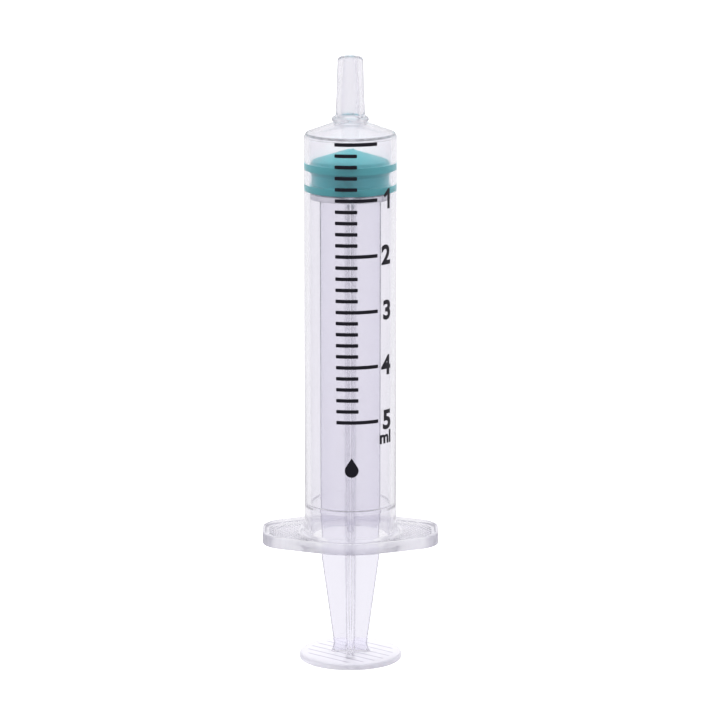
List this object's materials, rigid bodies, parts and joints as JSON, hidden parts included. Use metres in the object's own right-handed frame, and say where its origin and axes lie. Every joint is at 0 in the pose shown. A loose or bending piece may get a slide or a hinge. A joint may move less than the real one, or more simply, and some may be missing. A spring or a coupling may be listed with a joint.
{
  "type": "oral syringe",
  "caption": "Clear oral syringe with a tapered slip nozzle, oval finger flange, teal sliding stopper and ribbed plunger rod with a round thumb rest.",
  "frame": {"origin": "centre of the thumb rest's outer face, on which the syringe stands upright", "axes": "+Z along the syringe's axis towards the nozzle, X along the finger flange's long axis, -Y is the side with the printed scale"},
  "size_m": [0.0268, 0.0196, 0.0927],
  "materials": {
    "barrel": "polished clear polypropylene",
    "stopper": "satin moulded elastomer",
    "rod": "natural translucent polypropylene",
    "ink": "printed black scale, satin"
  },
  "bodies": {
    "barrel": {"barrel": "barrel"},
    "stopper": {"stopper": "stopper"},
    "plunger": {"plunger_rod": "rod"}
  },
  "joints": [
    {"name": "stopper_slide", "type": "slide", "parent": "barrel", "child": "stopper", "axis": [0, 0, 1], "range_m": [-0.0467, 0.00345]},
    {"name": "rod_spin", "type": "hinge", "parent": "stopper", "child": "plunger", "pos_m": [0, 0, 0.0725], "axis": [0, 0, 1], "continuous": true}
  ]
}
